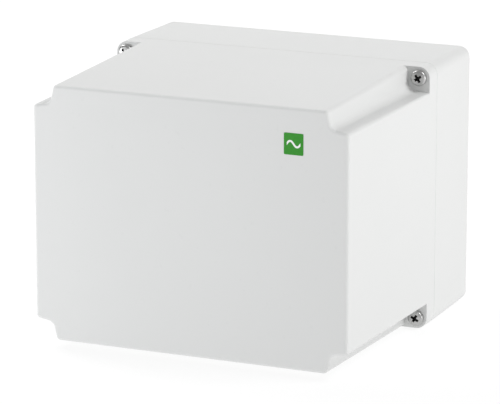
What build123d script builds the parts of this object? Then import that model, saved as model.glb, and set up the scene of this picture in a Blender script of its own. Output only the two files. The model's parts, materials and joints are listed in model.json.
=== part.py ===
from build123d import *
from math import atan2, degrees
import os

# Surface-mounted electrical junction box: a shallow base, a deep screw-on cover with a gasket,
# and a rail of five screw terminals inside.
# Millimetres. X to the right, Y into the wall, Z up; the origin is the centre of the back face.
# "depth" below is the distance in front of the wall, so a point at depth d has Y = -d.

os.makedirs("parts", exist_ok=True)

# ---- overall size ------------------------------------------------------------------------
WIDTH, HEIGHT, DEPTH = 172.0, 135.0, 158.0   # at the joint line, where the box is widest
PARTING = 48.0                               # depth of the cover's rim
GAP = 0.06                                   # air between the cover and the base
JOINT_R = 0.45                               # round on the outer edge of both rims
BASE_RIM = PARTING - GAP
COVER_DRAFT = 3.0                            # how far each cover wall leans in over its depth
BASE_DRAFT = 0.4                             # the same for the base
CORNER_R = 6.0
FRONT_R = 1.6                                # round where the walls meet the front face

# ---- walls and seal ----------------------------------------------------------------------
RIM_WALL = 3.6                               # walls at the joint line
FRONT_WALL = 2.6                             # cover walls at the front, and the front itself
FLOOR = 3.0
CORE_DRAFT = 0.3                             # extra lean of the inside walls
LIP = 1.0                                    # wall left outside the seal groove
GROOVE_W, GROOVE_D = 1.6, 3.0
SEAL_T = 1.6                                 # gasket thickness, at the bottom of the groove
TONGUE_W, TONGUE_H = 1.0, 1.4                # rib of the base that closes on the gasket

# ---- screw channels in the cover's corners -----------------------------------------------
# The flanks lean a little apart and outward: (x at the top wall), (inside corner), (z at the side
# wall), then the rounds at the top wall, in the inside corner and at the side wall.
CHANNEL_EAR = (74.1, (74.5, 54.9), 54.4, 3.0, 5.0, 1.0)
CHANNEL_FRONT = (72.0, (74.05, 55.55), 54.1, 2.2, 4.0, 2.0)
NOTCH_X, NOTCH_Z = 73.4, 54.2                # steps of the seal and towers, from the middle
NOTCH_R, NOSE_R = 6.0, 2.8                   # their inside and outside corners
INNER_NOTCH_R, INNER_NOSE_R = 8.4, 1.5       # the same rounds on the inside of the walls
EAR = 10.0                                   # ear that the screw head sits on
SEAT = PARTING + EAR
SCREW_X, SCREW_Z = 80.3, 61.7
EAR_WEB = 3.0                                # plastic left between head and captive washer

# ---- cover screws, M4 x 20 ---------------------------------------------------------------
M4_R = 2.0
M4_FREE_R = 2.08                             # hole the screw turns in
M4_THREAD_R = 2.1                            # tapped hole, threads left out
COVER_HEAD_R, COVER_HEAD_H = 4.0, 2.9
HEAD_LIFT = 0.15
SCREW_TIP = 37.7
INSERT_R, INSERT_L, INSERT_TOP = 3.0, 8.0, 44.0
WASHER_R, WASHER_T, WASHER_AT = 4.0, 1.2, 47.2
WASHER_POCKET_R = 4.3
TOWER_TOP_POCKET = 46.5

# ---- base details ------------------------------------------------------------------------
TOWER_CORE_D = 33.5                          # hollow under each screw tower, open at the back
TOWER_SKIN = 2.8
FIX_X, FIX_Z = 60.0, 42.0                    # wall fixing holes, from the middle
FIX_R, FIX_BOSS_R, FIX_BOSS_H = 2.5, 7.0, 2.0
FIX_HEAD_R, FIX_HEAD_D = 4.8, 1.2
PILLAR_X, PILLAR_R, RAIL_BACK = 55.0, 6.5, 12.0
RIB_T = 1.6
RIB_Z = (-46.0, -26.0, 26.0, 46.0)

# ---- 35 mm rail --------------------------------------------------------------------------
RAIL_L, RAIL_W, RAIL_H, RAIL_T = 130.0, 35.0, 7.5, 1.0
RAIL_HAT = 27.0
RAIL_FRONT = RAIL_BACK + RAIL_H
RAIL_SLOT_L, RAIL_SLOT_W = 15.0, 6.3
RAIL_HEAD_R, RAIL_HEAD_H, RAIL_SCREW_L = 4.0, 2.4, 9.0

# ---- terminals ---------------------------------------------------------------------------
NAMES = ("phase_a", "phase_b", "phase_c", "neutral", "earth")
TERM_W, TERM_PITCH = 10.0, 10.2
TERM_Z, TERM_FRONT, TERM_SHOULDER = 23.0, 60.0, 52.0
SIDE_WALL = 1.2
CLAMP_Z = 13.0                               # the two clamping points, from the middle
BAR_W, BAR_T, BAR_AT, BAR_Z = 4.4, 1.6, 40.0, 17.0
CAGE_W, CAGE_L, CAGE_AT, CAGE_H = 7.0, 6.4, 32.4, 13.4
CAGE_FLOOR, CAGE_ROOF, CAGE_SIDE = 1.2, 3.0, 1.0
CAGE_FREE = 0.3
POCKET_TOP = 51.7
CLAMP_HEAD_R, CLAMP_HEAD_H, CLAMP_HEAD_AT = 3.2, 2.6, 52.0
CLAMP_TIP = 41.9
CHAMBER_R, CHAMBER_TOP = 3.28, 55.2
DRIVER_R = 2.7
WIRE_R, WIRE_AT = 3.0, 36.8
FUNNEL_R = 3.8
TAG_Z, TAG_T, TAG_W = 9.0, 1.6, 8.0
TAG_AT = TERM_FRONT - 1.2
END_PLATE_T = 1.5
BRACKET_W, BRACKET_Z, BRACKET_FRONT = 8.0, 20.2, 46.0
BRACKET_HEAD_R, BRACKET_HEAD_H, BRACKET_HEAD_AT = 3.4, 2.6, 39.0

# ---- badge -------------------------------------------------------------------------------
LABEL_W, LABEL_H, LABEL_T, LABEL_SINK = 10.0, 10.6, 0.4, 0.3
LABEL_X, LABEL_Z = 55.0, 47.0

TERM_X = [TERM_PITCH * (i - (len(NAMES) - 1) / 2) for i in range(len(NAMES))]
CORNERS = {
    "top_left": (-SCREW_X, SCREW_Z),
    "top_right": (SCREW_X, SCREW_Z),
    "bottom_left": (-SCREW_X, -SCREW_Z),
    "bottom_right": (SCREW_X, -SCREW_Z),
}


def at(depth):
    """Plane parallel to the wall, this far in front of it; sketch x, y are X, Z."""
    return Plane.XZ.offset(depth)


def cover_half(depth):
    """Half width and half height of the cover's outside at this depth."""
    lean = COVER_DRAFT * (depth - PARTING) / (DEPTH - PARTING)
    return WIDTH / 2 - lean, HEIGHT / 2 - lean


def base_half(depth):
    """Half width and half height of the base's outside at this depth."""
    lean = BASE_DRAFT * (1 - depth / BASE_RIM)
    return WIDTH / 2 - lean, HEIGHT / 2 - lean


def channelled(half_x, half_z, channel, mode=Mode.ADD):
    """Face of a rectangle with a channel in each corner, all its corners rounded."""
    top_x, (step_x, step_z), side_z, r_top, r_step, r_side = channel
    points, radii = [], []
    for sx, sz in ((1, 1), (-1, 1), (-1, -1), (1, -1)):
        corner = [(sx * half_x, sz * side_z), (sx * step_x, sz * step_z), (sx * top_x, sz * half_z)]
        rounds = [r_side, r_step, r_top]
        points += corner if sx * sz > 0 else corner[::-1]
        radii += rounds if sx * sz > 0 else rounds[::-1]
    with BuildLine() as outline:
        FilletPolyline(*points, radius=radii, close=True)
    make_face(outline.edges(), mode=mode)


def notched(half_x, half_z, step_x, step_z, r_nose, r_step, mode=Mode.ADD):
    """Face of a rectangle whose corners are stepped in square to (step_x, step_z)."""
    channelled(half_x, half_z, (step_x, (step_x, step_z), step_z, r_nose, r_step, r_nose), mode)


def seal_path(inset, width):
    """Closed band that follows the rim on the inner side of the cover screws."""
    for grow, mode in ((inset, Mode.ADD), (inset + width, Mode.SUBTRACT)):
        notched(
            WIDTH / 2 - grow, HEIGHT / 2 - grow, NOTCH_X - grow, NOTCH_Z - grow,
            max(NOSE_R - grow, 0.5), NOTCH_R + grow, mode,
        )


def inside(outer_half, wall, lean=0.0):
    """Outline of a hollow, one wall inside the outside surface."""
    half_x, half_z = outer_half
    notched(
        half_x - wall, half_z - wall, NOTCH_X - RIM_WALL - lean, NOTCH_Z - RIM_WALL - lean,
        INNER_NOSE_R, INNER_NOTCH_R,
    )


# ============================ base ========================================================
with BuildPart() as base_shell:
    back_x, back_z = base_half(0)
    with BuildSketch(at(0)):
        RectangleRounded(2 * back_x, 2 * back_z, CORNER_R - BASE_DRAFT)
    extrude(amount=BASE_RIM, taper=-degrees(atan2(BASE_DRAFT, BASE_RIM)))
    fillet(base_shell.faces().sort_by(Axis.Y)[0].edges(), JOINT_R)
    # hollow, leaving a solid tower in each corner
    with BuildSketch(at(FLOOR)):
        inside(base_half(FLOOR), RIM_WALL + CORE_DRAFT - BASE_DRAFT, CORE_DRAFT)
    with BuildSketch(at(BASE_RIM)):
        inside(base_half(BASE_RIM), RIM_WALL)
    loft(ruled=True, mode=Mode.SUBTRACT)
    # rib that closes on the gasket
    with BuildSketch(at(BASE_RIM)):
        seal_path(LIP + (GROOVE_W - TONGUE_W) / 2, TONGUE_W)
    extrude(amount=TONGUE_H)
    # floor: pillars for the rail, bosses for the wall screws, low ribs
    with BuildSketch(at(FLOOR)):
        with GridLocations(2 * PILLAR_X, 0, 2, 1):
            Circle(PILLAR_R)
    extrude(amount=RAIL_BACK - FLOOR)
    with BuildSketch(at(FLOOR)):
        with GridLocations(2 * FIX_X, 2 * FIX_Z, 2, 2):
            Circle(FIX_BOSS_R)
        for rib_z in RIB_Z:
            with Locations((0, rib_z)):
                Rectangle(2 * FIX_X - FIX_BOSS_R, RIB_T)
    extrude(amount=FIX_BOSS_H)
    # holes for the rail screws and the wall screws
    with BuildSketch(at(FLOOR)):
        with GridLocations(2 * PILLAR_X, 0, 2, 1):
            Circle(M4_R)
    extrude(amount=RAIL_BACK - FLOOR, mode=Mode.SUBTRACT)
    with BuildSketch(at(0)):
        with GridLocations(2 * FIX_X, 2 * FIX_Z, 2, 2):
            Circle(FIX_R)
    extrude(amount=FLOOR + FIX_BOSS_H, mode=Mode.SUBTRACT)
    with BuildSketch(at(FLOOR + FIX_BOSS_H - FIX_HEAD_D)):
        with GridLocations(2 * FIX_X, 2 * FIX_Z, 2, 2):
            Circle(FIX_HEAD_R)
    extrude(amount=FIX_HEAD_D, mode=Mode.SUBTRACT)
    # screw towers: cored from the back, insert moulded in, pocket for the captive washer
    core_x = (NOTCH_X - RIM_WALL + TOWER_SKIN, back_x - TOWER_SKIN)
    core_z = (NOTCH_Z - RIM_WALL + TOWER_SKIN, back_z - TOWER_SKIN)
    with BuildSketch(at(0)):
        with GridLocations(sum(core_x), sum(core_z), 2, 2):
            RectangleRounded(core_x[1] - core_x[0], core_z[1] - core_z[0], 3.0)
    extrude(amount=TOWER_CORE_D, mode=Mode.SUBTRACT)
    for radius, start, end in (
        (INSERT_R, INSERT_TOP - INSERT_L, INSERT_TOP),
        (M4_THREAD_R + 0.2, INSERT_TOP, TOWER_TOP_POCKET),
        (WASHER_POCKET_R, TOWER_TOP_POCKET, BASE_RIM),
    ):
        with BuildSketch(at(start)):
            with GridLocations(2 * SCREW_X, 2 * SCREW_Z, 2, 2):
                Circle(radius)
        extrude(amount=end - start, mode=Mode.SUBTRACT)
base_shell.part.label = "base_shell"
export_step(base_shell.part, "parts/base_shell.step")

with BuildPart() as cover_screw_inserts:
    with BuildSketch(at(INSERT_TOP - INSERT_L)):
        with GridLocations(2 * SCREW_X, 2 * SCREW_Z, 2, 2):
            Circle(INSERT_R)
            Circle(M4_THREAD_R, mode=Mode.SUBTRACT)
    extrude(amount=INSERT_L)
cover_screw_inserts.part.label = "cover_screw_inserts"
export_step(cover_screw_inserts.part, "parts/cover_screw_inserts.step")

# ============================ cover =======================================================
with BuildPart() as cover_shell:
    with BuildSketch(at(PARTING)):
        RectangleRounded(WIDTH, HEIGHT, CORNER_R)
    extrude(amount=EAR, taper=degrees(atan2(COVER_DRAFT, DEPTH - PARTING)))
    fillet(cover_shell.faces().sort_by(Axis.Y)[-1].edges(), JOINT_R)
    # tall part, with a screw channel down each corner from the front to the ears
    with BuildSketch(at(SEAT)):
        channelled(*cover_half(SEAT), CHANNEL_EAR)
    with BuildSketch(at(DEPTH)):
        channelled(*cover_half(DEPTH), CHANNEL_FRONT)
    loft(ruled=True)
    fillet(cover_shell.faces().sort_by(Axis.Y)[0].edges(), FRONT_R)
    # hollow
    with BuildSketch(at(PARTING)):
        inside(cover_half(PARTING), RIM_WALL)
    with BuildSketch(at(DEPTH - FRONT_WALL)):
        inside(cover_half(DEPTH), FRONT_WALL, CORE_DRAFT)
    loft(ruled=True, mode=Mode.SUBTRACT)
    # groove for the gasket
    with BuildSketch(at(PARTING)):
        seal_path(LIP, GROOVE_W)
    extrude(amount=GROOVE_D, mode=Mode.SUBTRACT)
    # ears: screw hole, with a pocket for the captive washer below
    for radius, start, end in (
        (WASHER_POCKET_R, PARTING, SEAT - EAR_WEB),
        (M4_FREE_R, SEAT - EAR_WEB, SEAT),
    ):
        with BuildSketch(at(start)):
            with GridLocations(2 * SCREW_X, 2 * SCREW_Z, 2, 2):
                Circle(radius)
        extrude(amount=end - start, mode=Mode.SUBTRACT)
    # shallow recess for the badge
    with BuildSketch(at(DEPTH - LABEL_SINK)):
        with Locations((LABEL_X, LABEL_Z)):
            RectangleRounded(LABEL_W, LABEL_H, 0.6)
    extrude(amount=LABEL_SINK, mode=Mode.SUBTRACT)
cover_shell.part.label = "cover_shell"
export_step(cover_shell.part, "parts/cover_shell.step")

with BuildPart() as cover_gasket:
    with BuildSketch(at(PARTING + GROOVE_D - SEAL_T)):
        seal_path(LIP, GROOVE_W)
    extrude(amount=SEAL_T)
cover_gasket.part.label = "cover_gasket"
export_step(cover_gasket.part, "parts/cover_gasket.step")

with BuildPart() as front_badge:
    with BuildSketch(at(DEPTH - LABEL_SINK)):
        with Locations((LABEL_X, LABEL_Z)):
            RectangleRounded(LABEL_W, LABEL_H, 0.6)
    extrude(amount=LABEL_T)
front_badge.part.label = "front_badge"
export_step(front_badge.part, "parts/front_badge.step")

# ============================ cover screws and their captive washers ======================
HEAD_UNDER = SEAT + HEAD_LIFT
HEAD_DOME = 1.5
SLOT_W, SLOT_D = 1.1, 0.7
CROSS_L, CROSS_W, CROSS_D = 4.4, 1.3, 2.1
SLOT_TURN = {"top_left": 35.0, "top_right": 33.0, "bottom_left": 70.0, "bottom_right": 62.0}

for corner, (screw_x, screw_z) in CORNERS.items():
    with BuildPart() as cover_screw:
        with BuildSketch(at(HEAD_UNDER)):
            with Locations((screw_x, screw_z)):
                Circle(COVER_HEAD_R)
        extrude(amount=COVER_HEAD_H)
        fillet(cover_screw.faces().sort_by(Axis.Y)[0].edges(), HEAD_DOME)
        with BuildSketch(at(SCREW_TIP)):
            with Locations((screw_x, screw_z)):
                Circle(M4_R)
        extrude(amount=HEAD_UNDER - SCREW_TIP)
        chamfer(cover_screw.faces().sort_by(Axis.Y)[-1].edges(), 0.5)
        # slot and cross recess in the head
        for depth_of, shapes in (
            (SLOT_D, ((2.2 * COVER_HEAD_R, SLOT_W),)),
            (CROSS_D, ((CROSS_L, CROSS_W), (CROSS_W, CROSS_L))),
        ):
            with BuildSketch(at(HEAD_UNDER + COVER_HEAD_H - depth_of)):
                with Locations(Location((screw_x, screw_z, 0), (0, 0, SLOT_TURN[corner]))):
                    for length, width in shapes:
                        Rectangle(length, width)
            extrude(amount=depth_of, mode=Mode.SUBTRACT)
    cover_screw.part.label = "cover_screw_" + corner
    export_step(cover_screw.part, "parts/cover_screw_" + corner + ".step")

    with BuildPart() as screw_retainer:
        with BuildSketch(at(WASHER_AT)):
            with Locations((screw_x, screw_z)):
                Circle(WASHER_R)
                Circle(M4_R + 0.05, mode=Mode.SUBTRACT)
        extrude(amount=WASHER_T)
    screw_retainer.part.label = "screw_retainer_" + corner
    export_step(screw_retainer.part, "parts/screw_retainer_" + corner + ".step")

# ============================ rail ========================================================
with BuildPart() as din_rail:
    with BuildSketch(Plane.YZ.offset(-RAIL_L / 2)) as hat:
        with Locations((-(RAIL_BACK + RAIL_T / 2), 0)):
            Rectangle(RAIL_T, RAIL_HAT)
        with GridLocations(0, RAIL_HAT - RAIL_T, 1, 2):
            with Locations((-(RAIL_BACK + RAIL_H / 2), 0)):
                Rectangle(RAIL_H, RAIL_T)
        flange = (RAIL_W - RAIL_HAT) / 2 + RAIL_T
        with GridLocations(0, RAIL_W - flange, 1, 2):
            with Locations((-(RAIL_FRONT - RAIL_T / 2), 0)):
                Rectangle(RAIL_T, flange)
        fillet(hat.vertices(), 0.35)
    extrude(amount=RAIL_L)
    with BuildSketch(at(RAIL_BACK)):
        with GridLocations(2 * PILLAR_X, 0, 2, 1):
            SlotOverall(RAIL_SLOT_L, RAIL_SLOT_W)
        with GridLocations(0.8 * PILLAR_X, 0, 2, 1):
            SlotOverall(RAIL_SLOT_L, RAIL_SLOT_W)
    extrude(amount=RAIL_T, mode=Mode.SUBTRACT)
din_rail.part.label = "din_rail"
export_step(din_rail.part, "parts/din_rail.step")

with BuildPart() as rail_screws:
    for rail_x in (-PILLAR_X, PILLAR_X):
        with BuildSketch(at(RAIL_BACK + RAIL_T)):
            with Locations((rail_x, 0)):
                Circle(RAIL_HEAD_R)
        extrude(amount=RAIL_HEAD_H)
    fillet(rail_screws.faces().filter_by(Plane.XZ).sort_by(Axis.Y)[:2].edges(), 1.0)
    for rail_x in (-PILLAR_X, PILLAR_X):
        with BuildSketch(at(RAIL_BACK + RAIL_T - RAIL_SCREW_L)):
            with Locations((rail_x, 0)):
                Circle(M4_R)
        extrude(amount=RAIL_SCREW_L)
        with BuildSketch(at(RAIL_BACK + RAIL_T + RAIL_HEAD_H - SLOT_D)):
            with Locations((rail_x, 0)):
                Rectangle(SLOT_W, 2.2 * RAIL_HEAD_R)
        extrude(amount=SLOT_D, mode=Mode.SUBTRACT)
rail_screws.part.label = "rail_screws"
export_step(rail_screws.part, "parts/rail_screws.step")

# ============================ terminals ===================================================
HOOK_CLEAR = 0.2


def foot_and_body(side_z, front, shoulder, top_z):
    """Side view of anything that snaps on the rail: two hooks below, a block above."""
    hook_in, hook_out = RAIL_W / 2 + HOOK_CLEAR, RAIL_W / 2 + 2.7
    behind = RAIL_FRONT - RAIL_T - HOOK_CLEAR
    half = [
        (RAIL_FRONT, hook_in), (behind, hook_in), (behind, hook_in - 1.3), (behind - 1.8, hook_in - 0.8),
        (behind - 2.8, hook_in + 0.7), (behind - 2.8, hook_out), (RAIL_FRONT + 2.5, hook_out),
        (RAIL_FRONT + 4.5, side_z), (shoulder, side_z), (front, top_z),
    ]
    points = [(-d, z) for d, z in half] + [(-d, -z) for d, z in half[::-1]]
    with BuildLine() as outline:
        Polyline(*points, close=True)
    make_face(outline.edges())


for name, term_x in zip(NAMES, TERM_X):
    left, open_side = term_x - TERM_W / 2, term_x + TERM_W / 2
    with BuildPart() as housing:
        with BuildSketch(Plane.YZ.offset(left)):
            foot_and_body(TERM_Z, TERM_FRONT, TERM_SHOULDER, TERM_Z - 6)
        extrude(amount=TERM_W)
        # pockets moulded from the open side: two clamps, the current bar, two lightening pockets
        with BuildSketch(Plane.YZ.offset(left + SIDE_WALL)):
            pocket_low, pocket_l = CAGE_AT - CAGE_FREE, CAGE_L + 2 * CAGE_FREE
            with GridLocations(0, 2 * CLAMP_Z, 1, 2):
                with Locations((-(pocket_low + POCKET_TOP) / 2, 0)):
                    Rectangle(POCKET_TOP - pocket_low, pocket_l)
            with Locations((-30.5, 0)):
                Rectangle(13.0, 14.0)
            with Locations((-50.0, 0)):
                Rectangle(12.0, 14.0)
        extrude(amount=TERM_W, mode=Mode.SUBTRACT)
        with BuildSketch(Plane.YZ.offset(term_x - BAR_W / 2)):
            with Locations((-(BAR_AT + BAR_T / 2), 0)):
                Rectangle(BAR_T, 2 * BAR_Z)
        extrude(amount=TERM_W, mode=Mode.SUBTRACT)
        # screw chambers and screwdriver holes from the front, marker recess
        for radius, start, end in ((CHAMBER_R, POCKET_TOP, CHAMBER_TOP), (DRIVER_R, CHAMBER_TOP, TERM_FRONT)):
            with BuildSketch(at(start)):
                with Locations((term_x, CLAMP_Z), (term_x, -CLAMP_Z)):
                    Circle(radius)
            extrude(amount=end - start, mode=Mode.SUBTRACT)
        with BuildSketch(at(TAG_AT)):
            with Locations((term_x, 0)):
                Rectangle(TAG_W, TAG_Z)
        extrude(amount=TERM_FRONT - TAG_AT, mode=Mode.SUBTRACT)
        # wire entries top and bottom, each with a funnel
        entry = TERM_Z - CLAMP_Z
        for sign in (1, -1):
            with BuildSketch(Plane((term_x, -WIRE_AT, sign * TERM_Z), x_dir=(1, 0, 0), z_dir=(0, 0, -sign))):
                Circle(FUNNEL_R)
            extrude(amount=1.6, taper=26, mode=Mode.SUBTRACT)
            with BuildSketch(Plane((term_x, -WIRE_AT, sign * TERM_Z), x_dir=(1, 0, 0), z_dir=(0, 0, -sign))):
                Circle(WIRE_R)
            extrude(amount=entry, mode=Mode.SUBTRACT)
        if name == "earth":
            # room for the foot that joins the current bar to the rail
            with BuildSketch(Plane.YZ.offset(term_x - BAR_W / 2)):
                with Locations((-(RAIL_FRONT + BAR_T / 2), 0)):
                    Rectangle(BAR_T, RAIL_W)
                with Locations((-(RAIL_FRONT + BAR_AT) / 2, 0)):
                    Rectangle(BAR_AT - RAIL_FRONT, 6.0)
            extrude(amount=TERM_W, mode=Mode.SUBTRACT)
    housing.part.label = "terminal_housing_" + name
    export_step(housing.part, "parts/terminal_housing_" + name + ".step")

    for side, sign in (("upper", 1), ("lower", -1)):
        clamp_z = sign * CLAMP_Z
        with BuildPart() as cage:
            with BuildSketch(at(CAGE_AT)):
                with Locations((term_x, clamp_z)):
                    Rectangle(CAGE_W, CAGE_L)
            extrude(amount=CAGE_H)
            fillet(cage.edges().filter_by(Axis.Z), 0.5)
            # window for the bar and the wire, then the tapped hole in the roof
            with BuildSketch(at(CAGE_AT + CAGE_FLOOR)):
                with Locations((term_x, clamp_z)):
                    Rectangle(CAGE_W - 2 * CAGE_SIDE, CAGE_L)
            extrude(amount=CAGE_H - CAGE_FLOOR - CAGE_ROOF, mode=Mode.SUBTRACT)
            with BuildSketch(at(CAGE_AT + CAGE_H - CAGE_ROOF)):
                with Locations((term_x, clamp_z)):
                    Circle(M4_THREAD_R)
            extrude(amount=CAGE_ROOF, mode=Mode.SUBTRACT)
        cage.part.label = "clamp_cage_" + name + "_" + side
        export_step(cage.part, "parts/clamp_cage_" + name + "_" + side + ".step")

        with BuildPart() as clamp_screw:
            with BuildSketch(at(CLAMP_HEAD_AT)):
                with Locations((term_x, clamp_z)):
                    Circle(CLAMP_HEAD_R)
            extrude(amount=CLAMP_HEAD_H)
            chamfer(clamp_screw.faces().sort_by(Axis.Y)[0].edges(), 0.4)
            with BuildSketch(at(CLAMP_TIP)):
                with Locations((term_x, clamp_z)):
                    Circle(M4_R)
            extrude(amount=CLAMP_HEAD_AT - CLAMP_TIP)
            chamfer(clamp_screw.faces().sort_by(Axis.Y)[-1].edges(), 0.4)
            with BuildSketch(at(CLAMP_HEAD_AT + CLAMP_HEAD_H - SLOT_D)):
                with Locations((term_x, clamp_z)):
                    Rectangle(SLOT_W, 2.2 * CLAMP_HEAD_R)
            extrude(amount=SLOT_D, mode=Mode.SUBTRACT)
        clamp_screw.part.label = "clamp_screw_" + name + "_" + side
        export_step(clamp_screw.part, "parts/clamp_screw_" + name + "_" + side + ".step")

with BuildPart() as current_bars:
    for term_x in TERM_X:
        with BuildSketch(at(BAR_AT)):
            with Locations((term_x, 0)):
                Rectangle(BAR_W, 2 * BAR_Z)
        extrude(amount=BAR_T)
current_bars.part.label = "current_bars"
export_step(current_bars.part, "parts/current_bars.step")

with BuildPart() as earth_foot:
    earth_x = TERM_X[NAMES.index("earth")]
    for thick, height, middle in (
        (BAR_T, RAIL_W, RAIL_FRONT + BAR_T / 2),
        (BAR_AT - RAIL_FRONT, 6.0, (RAIL_FRONT + BAR_AT) / 2),
    ):
        with BuildSketch(Plane.YZ.offset(earth_x - BAR_W / 2)):
            with Locations((-middle, 0)):
                Rectangle(thick, height)
        extrude(amount=BAR_W)
earth_foot.part.label = "earth_foot"
export_step(earth_foot.part, "parts/earth_foot.step")

with BuildPart() as terminal_markers:
    for term_x in TERM_X:
        with BuildSketch(at(TAG_AT)):
            with Locations((term_x, 0)):
                Rectangle(TAG_W, TAG_Z)
        extrude(amount=TAG_T)
terminal_markers.part.label = "terminal_markers"
export_step(terminal_markers.part, "parts/terminal_markers.step")

with BuildPart() as terminal_end_plate:
    with BuildSketch(Plane.YZ.offset(TERM_X[-1] + TERM_W / 2)):
        foot_and_body(TERM_Z, TERM_FRONT, TERM_SHOULDER, TERM_Z - 6)
    extrude(amount=END_PLATE_T)
terminal_end_plate.part.label = "terminal_end_plate"
export_step(terminal_end_plate.part, "parts/terminal_end_plate.step")

# ============================ end brackets ================================================
BRACKET_LEFT = {
    "left": TERM_X[0] - TERM_W / 2 - BRACKET_W,
    "right": TERM_X[-1] + TERM_W / 2 + END_PLATE_T,
}
for side, left in BRACKET_LEFT.items():
    with BuildPart() as bracket:
        with BuildSketch(Plane.YZ.offset(left)):
            foot_and_body(BRACKET_Z, BRACKET_FRONT, BRACKET_FRONT - 5.0, BRACKET_Z - 4.0)
        extrude(amount=BRACKET_W)
        fillet(bracket.edges().filter_by(Axis.X).filter_by_position(Axis.Y, -DEPTH, 2 - BRACKET_FRONT), 1.5)
        for radius, start, end in (
            (M4_R, RAIL_FRONT, BRACKET_HEAD_AT),
            (BRACKET_HEAD_R + 0.2, BRACKET_HEAD_AT, BRACKET_FRONT),
        ):
            with BuildSketch(at(start)):
                with Locations((left + BRACKET_W / 2, 0)):
                    Circle(radius)
            extrude(amount=end - start, mode=Mode.SUBTRACT)
        # finger recesses in the two ends
        with BuildSketch(at(RAIL_FRONT + 7.0)):
            for sign in (1, -1):
                with Locations((left + BRACKET_W / 2, sign * BRACKET_Z)):
                    Rectangle(BRACKET_W - 3.0, 4.0)
        extrude(amount=12.0, mode=Mode.SUBTRACT)
    bracket.part.label = "end_bracket_" + side
    export_step(bracket.part, "parts/end_bracket_" + side + ".step")

with BuildPart() as end_bracket_screws:
    for left in BRACKET_LEFT.values():
        screw_x = left + BRACKET_W / 2
        with BuildSketch(at(RAIL_FRONT)):
            with Locations((screw_x, 0)):
                Circle(M4_R)
        extrude(amount=BRACKET_HEAD_AT - RAIL_FRONT)
        with BuildSketch(at(BRACKET_HEAD_AT)):
            with Locations((screw_x, 0)):
                Circle(BRACKET_HEAD_R)
        extrude(amount=BRACKET_HEAD_H)
        with BuildSketch(at(BRACKET_HEAD_AT + BRACKET_HEAD_H - SLOT_D)):
            with Locations((screw_x, 0)):
                Rectangle(SLOT_W, 2.2 * BRACKET_HEAD_R)
        extrude(amount=SLOT_D, mode=Mode.SUBTRACT)
end_bracket_screws.part.label = "end_bracket_screws"
export_step(end_bracket_screws.part, "parts/end_bracket_screws.step")
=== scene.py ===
import json
import math

import bmesh
import bpy
from mathutils import Matrix, Vector


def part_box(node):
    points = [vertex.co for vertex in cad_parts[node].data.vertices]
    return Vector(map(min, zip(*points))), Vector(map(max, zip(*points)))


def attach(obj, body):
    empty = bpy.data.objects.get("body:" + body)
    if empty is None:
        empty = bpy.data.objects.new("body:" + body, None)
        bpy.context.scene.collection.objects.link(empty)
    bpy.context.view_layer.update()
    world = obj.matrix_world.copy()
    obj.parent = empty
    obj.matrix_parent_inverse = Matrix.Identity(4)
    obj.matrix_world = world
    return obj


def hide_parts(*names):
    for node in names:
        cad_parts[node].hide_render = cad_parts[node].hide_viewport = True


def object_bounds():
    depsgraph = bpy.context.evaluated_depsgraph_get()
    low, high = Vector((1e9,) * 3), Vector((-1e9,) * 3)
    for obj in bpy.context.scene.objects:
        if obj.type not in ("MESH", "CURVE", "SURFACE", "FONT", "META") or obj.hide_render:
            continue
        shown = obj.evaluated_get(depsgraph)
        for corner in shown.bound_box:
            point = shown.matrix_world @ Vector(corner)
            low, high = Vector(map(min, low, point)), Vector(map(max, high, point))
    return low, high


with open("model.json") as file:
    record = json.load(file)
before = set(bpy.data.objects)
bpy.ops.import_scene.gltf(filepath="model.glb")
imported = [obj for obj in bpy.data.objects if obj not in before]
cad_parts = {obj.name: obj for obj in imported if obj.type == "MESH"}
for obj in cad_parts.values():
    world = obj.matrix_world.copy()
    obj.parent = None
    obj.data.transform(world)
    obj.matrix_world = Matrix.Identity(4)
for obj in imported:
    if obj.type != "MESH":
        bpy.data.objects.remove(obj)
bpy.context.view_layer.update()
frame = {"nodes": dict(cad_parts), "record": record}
NODES = frame["nodes"]
MM = 0.001
scene = bpy.context.scene
scene.view_settings.view_transform = "Standard"


# ---- camera and light -----------------------------------------------------------------------
AZIMUTH, ELEVATION = math.radians(23.624), math.radians(14.135)
CAMERA_AT = Vector((0.6425, -1.5526, 0.3999))
LENS, SENSOR = 237.1, 36.0                  # millimetres
NEAR, FAR = 0.05, 120.0                     # far enough for the floor's corners
WHITE, COOL_WHITE = (1.0, 1.0, 1.0), (0.97, 0.985, 1.0)
SKY_STRENGTH = 0.40
LIT_POINT = (0.0, -0.08, 0.0)               # about the middle of the box; every softbox faces it
SOFTBOXES = (                               # name, place, width and height, watts, colour
    ("softbox_left", (-1.3, 0.5, 1.25), (0.8, 0.8), 17.0, WHITE),
    ("softbox_back", (-0.7, 1.5, 0.8), (1.2, 0.7), 3.5, WHITE),
    ("softbox_above", (1.1, 0.1, 1.3), (0.6, 0.6), 11.0, WHITE),
    ("softbox_right", (1.6, -0.2, 0.15), (0.6, 0.6), 7.0, WHITE),
    ("softbox_front", (-0.42, -0.62, 0.0), (0.4, 0.11), 1.55, COOL_WHITE),
)
FLOOR_HALF = 40.0                           # so wide that its edge shows only in nearly level views
PAPER_GREY, PAPER_ROUGHNESS, PAPER_GLOW = 0.20, 0.9, 0.83


def aim(obj, place, target):
    obj.location = place
    obj.rotation_euler = (Vector(target) - Vector(place)).to_track_quat("-Z", "Y").to_euler()


def add_camera():
    data = bpy.data.cameras.new("photo_camera")
    data.lens, data.sensor_width = LENS, SENSOR
    data.clip_start, data.clip_end = NEAR, FAR
    camera = bpy.data.objects.new("photo_camera", data)
    scene.collection.objects.link(camera)
    back = Vector((math.sin(AZIMUTH) * math.cos(ELEVATION),
                   -math.cos(AZIMUTH) * math.cos(ELEVATION), math.sin(ELEVATION)))
    aim(camera, CAMERA_AT, CAMERA_AT - back)
    scene.camera = camera


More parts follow.
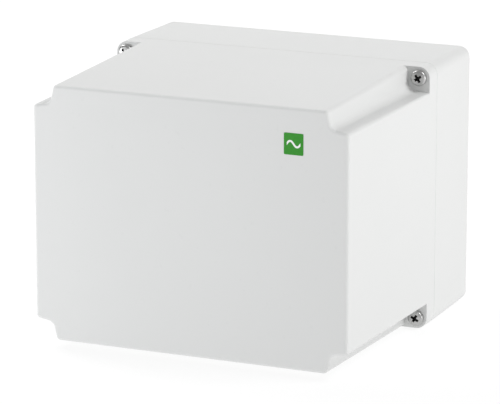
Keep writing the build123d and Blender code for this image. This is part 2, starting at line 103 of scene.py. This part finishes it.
def add_softbox(name, place, size, power, colour):
    data = bpy.data.lights.new(name, "AREA")
    data.shape, data.size, data.size_y = "RECTANGLE", size[0], size[1]
    data.energy, data.color = power, colour
    light = bpy.data.objects.new(name, data)
    scene.collection.objects.link(light)
    aim(light, place, LIT_POINT)


def add_light():
    world = bpy.data.worlds.new("studio")
    scene.world = world
    world.use_nodes = True
    sky = world.node_tree.nodes["Background"]
    sky.inputs["Color"].default_value = (*WHITE, 1.0)
    sky.inputs["Strength"].default_value = SKY_STRENGTH
    for softbox in SOFTBOXES:
        add_softbox(*softbox)


def add_floor():
    """Pale paper with a glow of its own, so that the object's shadow stays faint."""
    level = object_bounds()[0].z
    corners = [(x * FLOOR_HALF, y * FLOOR_HALF, level) for x, y in ((-1, -1), (1, -1), (1, 1), (-1, 1))]
    mesh = bpy.data.meshes.new("studio_floor")
    mesh.from_pydata(corners, [], [(0, 1, 2, 3)])
    floor = bpy.data.objects.new("studio_floor", mesh)
    scene.collection.objects.link(floor)
    paper = MaterialTree("floor_paper")
    mesh.materials.append(paper.finish(Base_Color=(PAPER_GREY,) * 3, Roughness=PAPER_ROUGHNESS,
                                       Specular_IOR_Level=0.0, Emission_Color=WHITE,
                                       Emission_Strength=PAPER_GLOW))


# ---- materials ------------------------------------------------------------------------------
class MaterialTree:
    """Builds one material's node tree. Noise scales are per metre: 1500 makes grains of 0.7 mm."""

    MIX_FACTOR, MIX_A, MIX_B, MIX_RESULT = 0, 6, 7, 2   # a colour mix node's sockets share their names

    def __init__(self, name):
        self.material = bpy.data.materials.new(name)
        self.material.use_nodes = True
        self.nodes = self.material.node_tree.nodes
        self.links = self.material.node_tree.links
        self.shader = self.nodes["Principled BSDF"]
        self.place = self.nodes.new("ShaderNodeTexCoord").outputs["Object"]

    def feed(self, socket, value):
        """Links another node's output to the socket, or sets its number, vector or colour."""
        if isinstance(value, bpy.types.NodeSocket):
            self.links.new(value, socket)
        else:
            socket.default_value = (*value, 1.0) if socket.type == "RGBA" else value

    def feed_all(self, node, inputs):
        for name, value in inputs.items():
            self.feed(node.inputs[name.replace("_", " ")], value)

    def new(self, kind, **inputs):
        node = self.nodes.new(kind)
        self.feed_all(node, inputs)
        return node

    def stretch(self, x, y, z):
        return self.new("ShaderNodeMapping", Vector=self.place, Scale=(x, y, z)).outputs["Vector"]

    def noise(self, scale, detail, rough=0.5, vector=None):
        node = self.new("ShaderNodeTexNoise", Vector=vector or self.place, Scale=scale,
                        Detail=detail, Roughness=rough)
        return node.outputs["Fac"]

    def ramp(self, value, low, high, to_low=0.0, to_high=1.0):
        node = self.new("ShaderNodeMapRange", Value=value, From_Min=low, From_Max=high,
                        To_Min=to_low, To_Max=to_high)
        return node.outputs["Result"]

    def mix(self, factor, colour_a, colour_b):
        node = self.nodes.new("ShaderNodeMix")
        node.data_type = "RGBA"
        self.feed(node.inputs[self.MIX_FACTOR], factor)
        self.feed(node.inputs[self.MIX_A], colour_a)
        self.feed(node.inputs[self.MIX_B], colour_b)
        return node.outputs[self.MIX_RESULT]

    def bump(self, height, strength, distance, **under):
        node = self.new("ShaderNodeBump", Height=height, Strength=strength, Distance=distance, **under)
        return node.outputs["Normal"]

    def math(self, operation, a, b=0.0):
        node = self.nodes.new("ShaderNodeMath")
        node.operation = operation
        self.feed(node.inputs[0], a)
        self.feed(node.inputs[1], b)
        return node.outputs["Value"]

    def finish(self, **inputs):
        self.feed_all(self.shader, inputs)
        return self.material


def shade(colour, factor):
    return tuple(min(c * factor, 1.0) for c in colour)


def moulded_plastic(name, colour, roughness, spread=0.03, gloss=0.5):
    """Injection-moulded plastic: spark-eroded grain, slow colour drift, faint handling marks."""
    tree = MaterialTree(name)
    drift = tree.ramp(tree.noise(7.0, 4.0), 0.3, 0.7)
    base = tree.mix(drift, shade(colour, 1 - spread), shade(colour, 1 + spread))
    speck = tree.ramp(tree.noise(420.0, 2.0), 0.66, 0.78, 0.0, 0.35)
    base = tree.mix(speck, base, shade(colour, 0.93))
    rubs = tree.ramp(tree.noise(26.0, 6.0, 0.62, tree.stretch(1.0, 1.0, 2.6)), 0.52, 0.72)
    rough = tree.ramp(rubs, 0.0, 1.0, roughness, roughness + 0.09)
    grain = tree.bump(tree.noise(1500.0, 2.0, 0.6), 0.35, 0.02 * MM)
    sink = tree.bump(tree.noise(9.0, 1.0), 0.25, 0.35 * MM, Normal=grain)
    return tree.finish(Base_Color=base, Roughness=rough, Specular_IOR_Level=gloss, Normal=sink)


def plated_metal(name, colour, roughness, turned=True):
    """Plated steel or brass: cloudy tint, fine lines around Y where turned, along X where rolled."""
    tree = MaterialTree(name)
    cloud = tree.ramp(tree.noise(130.0, 5.0, 0.6), 0.35, 0.7)
    base = tree.mix(cloud, shade(colour, 0.86), shade(colour, 1.08))
    stretch = (6.0, 60.0, 6.0) if turned else (0.6, 30.0, 30.0)
    lines = tree.noise(60.0, 3.0, 0.6, tree.stretch(*stretch))
    rough = tree.ramp(lines, 0.3, 0.7, roughness - 0.07, roughness + 0.12)
    relief = tree.bump(lines, 0.2, 0.02 * MM)
    return tree.finish(Base_Color=base, Metallic=1.0, Roughness=rough, Normal=relief)


def black_rubber(name):
    """Seal rubber: near black with a pale bloom and a fine grain."""
    tree = MaterialTree(name)
    bloom = tree.ramp(tree.noise(60.0, 5.0), 0.4, 0.7)
    base = tree.mix(bloom, (0.012, 0.012, 0.013), (0.03, 0.03, 0.031))
    grain = tree.bump(tree.noise(2200.0, 2.0), 0.5, 0.03 * MM)
    return tree.finish(Base_Color=base, Roughness=0.72, Normal=grain)


def earth_plastic(name):
    """Green and yellow moulded housing: green across the middle, yellow above and below."""
    tree = MaterialTree(name)
    height = tree.new("ShaderNodeSeparateXYZ", Vector=tree.place).outputs["Z"]
    band = tree.ramp(tree.math("ABSOLUTE", height), 8.5 * MM, 8.9 * MM)
    drift = tree.ramp(tree.noise(40.0, 3.0), 0.3, 0.7)
    green = tree.mix(drift, (0.02, 0.17, 0.03), (0.025, 0.21, 0.035))
    yellow = tree.mix(drift, (0.68, 0.50, 0.01), (0.76, 0.57, 0.015))
    grain = tree.bump(tree.noise(1700.0, 2.0), 0.35, 0.02 * MM)
    rough = tree.ramp(tree.noise(30.0, 4.0), 0.3, 0.7, 0.38, 0.5)
    return tree.finish(Base_Color=tree.mix(band, green, yellow), Roughness=rough, Normal=grain)


def wave(tree, middle, half, rise, stroke, edge):
    """1 on one period of a sine wave around `middle`, 0 off it; `edge` is how soft its border is."""
    place = tree.new("ShaderNodeSeparateXYZ", Vector=tree.place).outputs
    along = tree.math("SUBTRACT", place["X"], middle.x)
    up = tree.math("SUBTRACT", place["Z"], middle.z)
    turn = tree.math("MULTIPLY", along, math.pi / half)
    curve = tree.math("MULTIPLY", tree.math("SINE", turn), rise)
    gap = tree.math("ABSOLUTE", tree.math("SUBTRACT", up, curve))
    slope = tree.math("MULTIPLY", tree.math("COSINE", turn), rise * math.pi / half)
    steep = tree.math("SQRT", tree.math("ADD", tree.math("MULTIPLY", slope, slope), 1.0))
    on_line = tree.ramp(tree.math("DIVIDE", gap, steep), stroke - edge, stroke + edge, 1.0, 0.0)
    in_span = tree.ramp(tree.math("ABSOLUTE", along), half - edge, half + edge, 1.0, 0.0)
    return tree.math("MULTIPLY", on_line, in_span)


def printed_badge(name, colour, middle):
    """Printed film with a plain white wave: even ink, faint dot screen, orange-peel lacquer."""
    tree = MaterialTree(name)
    screen = tree.ramp(tree.noise(900.0, 2.0), 0.35, 0.65)
    ink = tree.mix(screen, shade(colour, 0.94), shade(colour, 1.05))
    print_mask = wave(tree, middle, half=3.5 * MM, rise=-1.4 * MM, stroke=0.48 * MM, edge=0.05 * MM)
    base = tree.mix(print_mask, ink, (0.86, 0.87, 0.86))
    peel = tree.bump(tree.noise(380.0, 2.0), 0.2, 0.02 * MM)
    rough = tree.ramp(tree.noise(70.0, 4.0), 0.3, 0.7, 0.30, 0.40)
    return tree.finish(Base_Color=base, Roughness=rough, Specular_IOR_Level=0.3, Normal=peel)


MATERIALS = {
    "enclosure_grey": moulded_plastic("box_plastic", (0.70, 0.705, 0.70), 0.58, spread=0.012, gloss=0.35),
    "seal_rubber": black_rubber("seal_rubber"),
    "brass_plain": plated_metal("insert_brass", (0.72, 0.50, 0.20), 0.28),
    "bar_brass": plated_metal("bar_brass", (0.75, 0.56, 0.27), 0.26, turned=False),
    "badge_green": printed_badge("badge_ink", (0.017, 0.25, 0.005),
                                 sum(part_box("front_badge"), Vector()) / 2),
    "screw_steel": plated_metal("screw_zinc", (0.53, 0.53, 0.525), 0.30),
    "zinc_steel": plated_metal("rail_zinc", (0.62, 0.64, 0.66), 0.33, turned=False),
    "nylon_white": moulded_plastic("washer_nylon", (0.72, 0.70, 0.64), 0.42),
    "terminal_grey": moulded_plastic("terminal_plastic", (0.27, 0.28, 0.28), 0.42),
    "terminal_blue": moulded_plastic("neutral_plastic", (0.02, 0.10, 0.36), 0.42),
    "terminal_green_yellow": earth_plastic("earth_plastic"),
    "marker_white": moulded_plastic("marker_plastic", (0.74, 0.74, 0.71), 0.4),
}


def paint(obj, *materials):
    obj.data.materials.clear()
    for material in materials:
        obj.data.materials.append(material)


for part in frame["record"]["subparts"]:
    paint(NODES[part["node"]], MATERIALS[part["material_slot"]])


# ---- cover screws with real threads and tapered cross recesses ------------------------------
SIDES = 32                                  # corners of every ring
PITCH = 0.7 * MM
CREST_R, ROOT_R = 1.98 * MM, 1.60 * MM
COLLAR_R, TIP_R = 1.95 * MM, 1.45 * MM      # plain shank above the thread and below it
THREAD_PROFILE = ((0.00, CREST_R), (0.12, CREST_R), (0.42, ROOT_R), (0.70, ROOT_R))  # share of a pitch
COLLAR_LENGTH, TIP_LENGTH, TIP_CHAMFER = 0.9 * MM, 0.35 * MM, 0.25 * MM
HEAD_HEIGHT = 2.9 * MM
DOME = ((0.35, 0.02 * MM), (0.7, 0.1 * MM), (1.0, 0.35 * MM))       # share of its radius, drop
SHOULDER_OUT, SHOULDER_END, SHOULDER_STEPS = 1.6 * MM, 1.5 * MM, 6  # round from the dome to the side
RIM_IN, RIM_UP = 0.18 * MM, 0.25 * MM       # chamfer under the head
NECK_R = 2.25 * MM
FILLET_R, FILLET_DOWN = 0.03 * MM, 0.2 * MM
SHARP = math.radians(38)

RECESS_DEPTH, SLOT_DEPTH, CUT_ABOVE = 2.2 * MM, 0.7 * MM, 0.3 * MM
WING_TOP, WING_FLOOR = (4.9 * MM, 1.4 * MM), (2.6 * MM, 0.8 * MM)   # length and width
CORE_TOP, CORE_FLOOR = (2.4 * MM, 2.4 * MM), (0.9 * MM, 0.9 * MM)
SLOT_TOP, SLOT_FLOOR = (9 * MM, 1.0 * MM), (9 * MM, 0.95 * MM)
PAINTED_SHADE_R, PAINTED_SHADE_FROM, PAINTED_SHADE_PAST = 2.6 * MM, 0.45 * MM, 0.05 * MM    # where the recess faces are painted near-black: painted shade, plus some dirt
HEAD_TURNS = {"top_left": 35.0, "top_right": 33.0, "bottom_left": 70.0, "bottom_right": 62.0}  # degrees


def head_outline(head_top, head_under, head_r):
    """Radius and height of each ring, from the domed top to the neck under the head."""
    dome_r = head_r - SHOULDER_OUT
    outline = [(share * dome_r, head_top + drop) for share, drop in DOME]
    shoulder_top = outline[-1][1]
    shoulder_drop = head_top + SHOULDER_END - shoulder_top
    for step in range(1, SHOULDER_STEPS + 1):
        turn = math.radians(90 / SHOULDER_STEPS * step)
        outline.append((dome_r + SHOULDER_OUT * math.sin(turn),
                        shoulder_top + shoulder_drop * (1 - math.cos(turn))))
    return outline + [(head_r, head_under - RIM_UP), (head_r - RIM_IN, head_under),
                      (NECK_R, head_under), (COLLAR_R + FILLET_R, head_under + FILLET_DOWN)]


def ring(mesh, angles, radius, y):
    return [mesh.verts.new((radius * math.sin(a), y, radius * math.cos(a))) for a in angles]


def thread_row(mesh, angles, turns, radius, start, end):
    """One line of the right-hand helix, held to the plain collar and tip beyond the thread's ends."""
    row = []
    for i, a in enumerate(angles):
        y = start + (turns + i / SIDES) * PITCH
        r = COLLAR_R if y <= start else TIP_R if y >= end else radius
        row.append(mesh.verts.new((r * math.sin(a), min(max(y, start), end), r * math.cos(a))))
    return row


def join(mesh, first, second):
    """Faces between two rings."""
    for i in range(SIDES):
        j = (i + 1) % SIDES
        mesh.faces.new((first[i], first[j], second[j], second[i]))


def join_thread(mesh, rows):
    """Faces between the rows of the helix; each row's end meets the row that is one turn on."""
    per_turn = len(THREAD_PROFILE)
    for k in range(len(rows) - 1):
        for i in range(SIDES - 1):
            mesh.faces.new((rows[k][i], rows[k][i + 1], rows[k + 1][i + 1], rows[k + 1][i]))
        if k + per_turn + 1 < len(rows):
            mesh.faces.new((rows[k][-1], rows[k + per_turn][0], rows[k + per_turn + 1][0], rows[k + 1][-1]))


def turned_screw(name, head_top, head_under, tip, head_r):
    """Screw along Y about the origin: domed pan head, collar and a right-hand M4 thread."""
    mesh = bmesh.new()
    angles = [2 * math.pi * i / SIDES for i in range(SIDES)]
    rings = [ring(mesh, angles, radius, y) for radius, y in head_outline(head_top, head_under, head_r)]
    mesh.faces.new(rings[0])
    start, end = head_under + COLLAR_LENGTH, tip - TIP_LENGTH
    rows = [thread_row(mesh, angles, turn + share - 1, radius, start, end)
            for turn in range(-1, math.ceil((end - start) / PITCH) + 2)
            for share, radius in THREAD_PROFILE]
    for first, second in zip(rings, rings[1:]):
        join(mesh, first, second)
    join_thread(mesh, rows)
    join(mesh, rings[-1], rows[0])
    last = ring(mesh, angles, TIP_R - TIP_CHAMFER, tip)
    join(mesh, rows[-1], last)
    mesh.faces.new(last[::-1])
    bmesh.ops.remove_doubles(mesh, verts=mesh.verts, dist=1e-7)
    bmesh.ops.recalc_face_normals(mesh, faces=mesh.faces)
    data = bpy.data.meshes.new(name)
    mesh.to_mesh(data)
    mesh.free()
    return data


def wedge(name, top, bottom, y_top, y_bottom, turn):
    """Closed block whose rectangle shrinks from `top` to `bottom`, turned about Y."""
    verts = []
    for (length, width), y in ((top, y_top), (bottom, y_bottom)):
        for sx, sz in ((1, 1), (-1, 1), (-1, -1), (1, -1)):
            x, z = sx * length / 2, sz * width / 2
            verts.append((x * math.cos(turn) - z * math.sin(turn), y,
                          x * math.sin(turn) + z * math.cos(turn)))
    faces = [(0, 1, 2, 3), (7, 6, 5, 4)] + [(i, i + 4, (i + 1) % 4 + 4, (i + 1) % 4) for i in range(4)]
    data = bpy.data.meshes.new(name)
    data.from_pydata(verts, [], faces)
    mesh = bmesh.new()
    mesh.from_mesh(data)
    bmesh.ops.recalc_face_normals(mesh, faces=mesh.faces)
    mesh.to_mesh(data)
    mesh.free()
    obj = bpy.data.objects.new(name, data)
    scene.collection.objects.link(obj)
    return obj


def cross_recess(head_top, turn):
    """What a head's drive leaves out: two tapered wings, the core between them, a shallow slot."""
    above, floor = head_top - CUT_ABOVE, head_top + RECESS_DEPTH
    return [wedge("wing_a", WING_TOP, WING_FLOOR, above, floor, turn),
            wedge("wing_b", WING_TOP, WING_FLOOR, above, floor, turn + math.pi / 2),
            wedge("core", CORE_TOP, CORE_FLOOR, above, floor, turn + math.pi / 4),
            wedge("slot", SLOT_TOP, SLOT_FLOOR, above, head_top + SLOT_DEPTH, turn)]


def cut(obj, cutters):
    """Takes the cutters away from obj and removes them from the scene."""
    for cutter in cutters:
        step = obj.modifiers.new("cut", "BOOLEAN")
        step.operation, step.solver, step.object = "DIFFERENCE", "EXACT", cutter
    bpy.context.view_layer.update()
    done = bpy.data.meshes.new_from_object(obj.evaluated_get(bpy.context.evaluated_depsgraph_get()))
    obj.modifiers.clear()
    obj.data = done
    for cutter in cutters:
        bpy.data.objects.remove(cutter)


def finish_screw(piece, head_top, recess):
    """Smooth zinc all over, and near-black zinc on the faces deep in the recess: painted shade, plus some
    dirt.
    """
    paint(piece, MATERIALS["screw_steel"], recess)
    for face in piece.data.polygons:
        face.use_smooth = True
        c = face.center
        deep = head_top + PAINTED_SHADE_FROM < c.y < head_top + RECESS_DEPTH + PAINTED_SHADE_PAST
        if deep and math.hypot(c.x, c.z) < PAINTED_SHADE_R:
            face.material_index = 1
    piece.data.set_sharp_from_angle(angle=SHARP)


def add_cover_screws():
    low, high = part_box("cover_screw_top_right")         # the four are alike
    head_top, tip, head_r = low.y, high.y, (high.x - low.x) / 2
    # near-black zinc for the faces deep in each recess: painted shade, plus some dirt
    recess = plated_metal("recess_painted_shade", (0.055, 0.055, 0.055), 0.6)
    for corner, degrees in HEAD_TURNS.items():
        node = "cover_screw_" + corner
        piece = bpy.data.objects.new("threaded_screw_" + corner,
                                     turned_screw(node, head_top, head_top + HEAD_HEIGHT, tip, head_r))
        scene.collection.objects.link(piece)
        cut(piece, cross_recess(head_top, math.radians(degrees)))
        piece.data.name = piece.name
        finish_screw(piece, head_top, recess)
        low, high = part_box(node)
        middle = (low + high) / 2
        piece.data.transform(Matrix.Translation((middle.x, 0.0, middle.z)))
        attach(piece, node)
        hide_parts(node)


add_cover_screws()
add_camera()
add_light()
add_floor()
